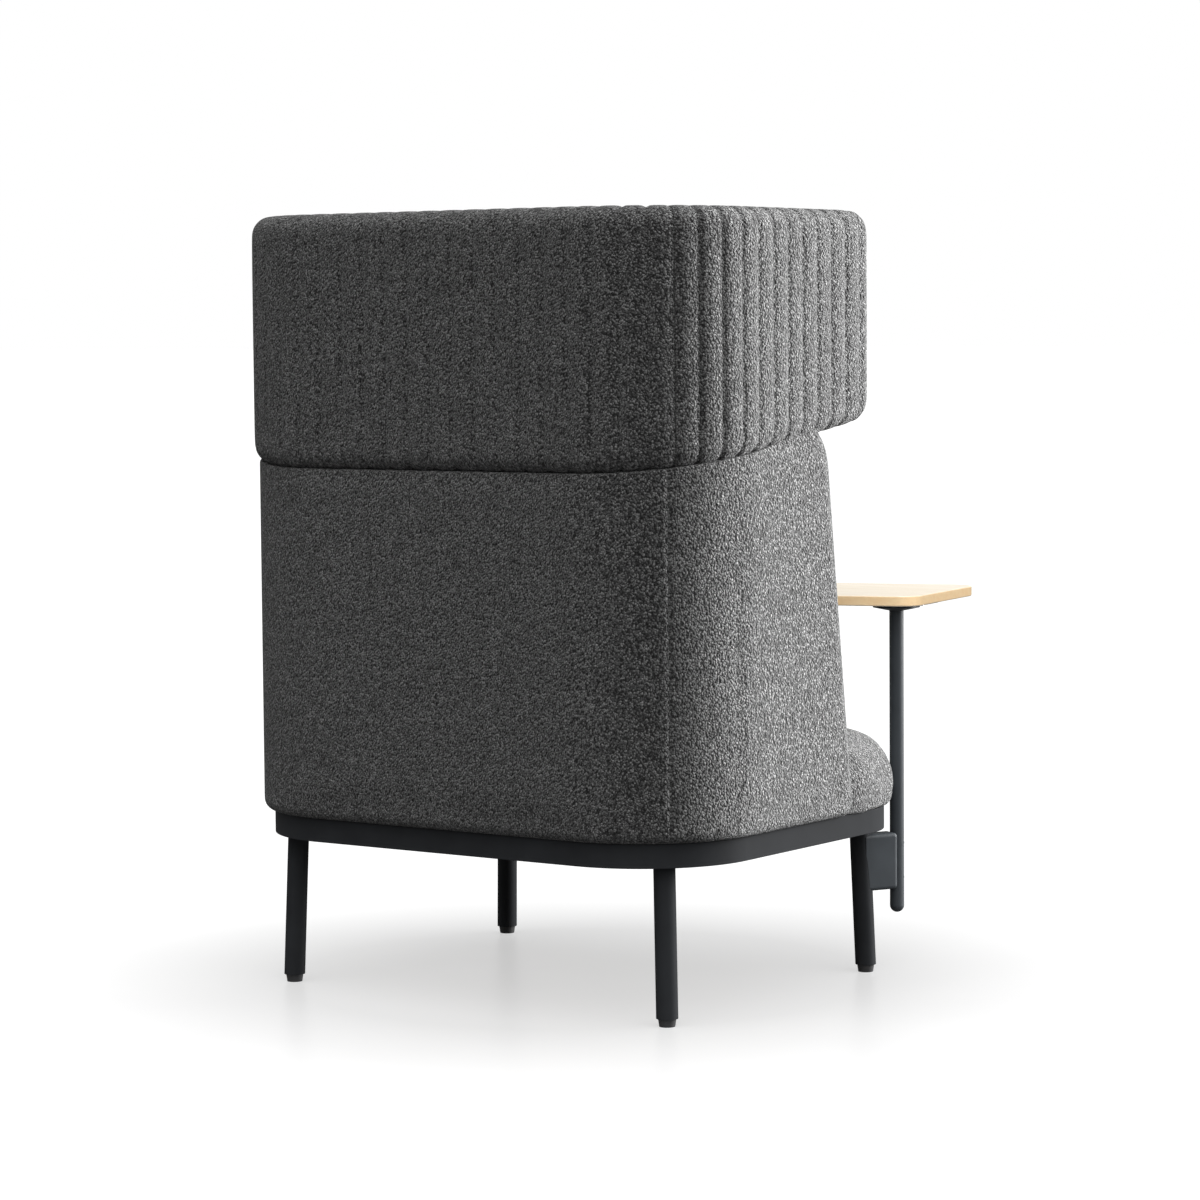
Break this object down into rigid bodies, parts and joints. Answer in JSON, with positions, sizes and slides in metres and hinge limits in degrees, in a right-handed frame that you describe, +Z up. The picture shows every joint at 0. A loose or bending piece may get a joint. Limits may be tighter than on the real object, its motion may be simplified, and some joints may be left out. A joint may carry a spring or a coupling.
{
  "type": "single seat sofa with side table",
  "caption": "High-backed single seat sofa with a channel-quilted hood, a domed seat on a steel ring with splayed legs, and a wooden side table that swivels on a post.",
  "frame": {"origin": "on the floor under the middle of the four feet", "axes": "+Z up, -Y toward the front where the sitter enters, -X toward the sitter's right where the table stands"},
  "size_m": [0.984, 1.0458, 1.316],
  "materials": {
    "powder_coated_steel": "matt charcoal black powder coat",
    "post_steel": "satin blue-grey charcoal powder coat",
    "zinc_plated_steel": "bright zinc plating",
    "black_plastic": "moulded, matt",
    "plywood": "raw birch plywood",
    "boucle_cloth": "salt and pepper charcoal boucle over foam",
    "table_wood": "clear matt lacquer on pale wood"
  },
  "bodies": {
    "chair": {"base_ring": "powder_coated_steel", "leg_plates": "powder_coated_steel", "cross_rails": "powder_coated_steel", "leg_front_right": "powder_coated_steel", "leg_front_left": "powder_coated_steel", "leg_rear_right": "powder_coated_steel", "leg_rear_left": "powder_coated_steel", "glide_front_right": "black_plastic", "glide_front_left": "black_plastic", "glide_rear_right": "black_plastic", "glide_rear_left": "black_plastic", "leg_bolts": "zinc_plated_steel", "seat_deck": "plywood", "deck_screws": "zinc_plated_steel", "shell_core": "plywood", "shell_brackets": "zinc_plated_steel", "shell_screws": "zinc_plated_steel", "back_pad": "boucle_cloth", "back_inner_pad": "boucle_cloth", "right_pad": "boucle_cloth", "left_pad": "boucle_cloth", "hood_back": "boucle_cloth", "hood_right": "boucle_cloth", "hood_left": "boucle_cloth", "seat_cushion": "boucle_cloth", "post_bracket": "post_steel", "table_post": "post_steel", "post_screws": "zinc_plated_steel", "post_end_cap": "post_steel", "post_bush": "black_plastic"},
    "table": {"table_flange": "post_steel", "table_plate": "post_steel", "plate_screws": "zinc_plated_steel", "table_top": "table_wood"}
  },
  "joints": [
    {"name": "table_swivel", "type": "hinge", "parent": "chair", "child": "table", "pos_m": [-0.418, -0.367, 0.629], "axis": [0, 0, 1], "range_deg": [-165, 40]}
  ]
}
